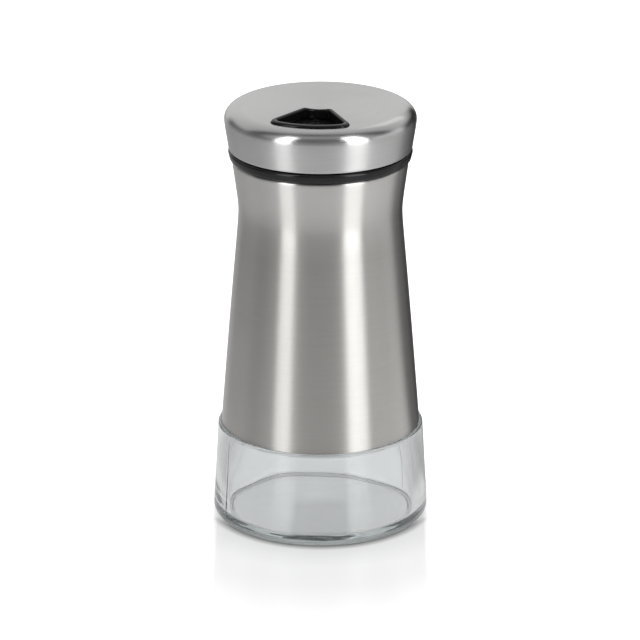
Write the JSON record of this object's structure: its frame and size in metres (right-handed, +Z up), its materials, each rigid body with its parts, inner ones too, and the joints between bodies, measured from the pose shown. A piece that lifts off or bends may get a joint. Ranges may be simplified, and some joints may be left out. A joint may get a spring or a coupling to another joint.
{
  "type": "spice shaker dispenser",
  "caption": "Waisted glass jar in a brushed steel sleeve, with a screw-on black base and a turning steel-topped dial whose window uncovers shaking and pouring holes.",
  "frame": {"origin": "centre of the jar's foot, on the table", "axes": "+Z up along the jar's axis and the axis of lid and dial; -Y towards the dial's window at rest; +X to the right seen from the window's side"},
  "size_m": [0.0548, 0.0548, 0.1086],
  "materials": {
    "clear_glass": "clear, moulded",
    "brushed_steel": "brushed round the axis",
    "clear_adhesive": "milky, soft",
    "black_plastic": "satin moulded",
    "silicone": "matte",
    "glossy_black_plastic": "gloss moulded",
    "screw_steel": "plain zinc-bright"
  },
  "bodies": {
    "jar": {"glass_jar": "clear_glass", "steel_sleeve": "brushed_steel", "sleeve_adhesive": "clear_adhesive"},
    "gasket": {"lid_gasket": "silicone"},
    "lid": {"lid_base": "black_plastic"},
    "dial": {"dial_insert": "glossy_black_plastic", "steel_cap": "brushed_steel", "pivot_screw": "screw_steel", "pivot_washer": "screw_steel"}
  },
  "joints": [
    {"name": "lid_lift", "type": "slide", "parent": "jar", "child": "gasket", "axis": [0, 0, 1], "range_m": [0, 0.012]},
    {"name": "lid_turn", "type": "hinge", "parent": "gasket", "child": "lid", "pos_m": [0, 0, 0.1], "axis": [0, 0, 1], "range_deg": [0, 1080]},
    {"name": "dial_turn", "type": "hinge", "parent": "lid", "child": "dial", "pos_m": [0, 0, 0.1044], "axis": [0, 0, 1], "continuous": true}
  ],
  "couplings": [
    {"joint": "lid_lift", "follows": "lid_turn", "m_per_rad": 0.00063661}
  ]
}
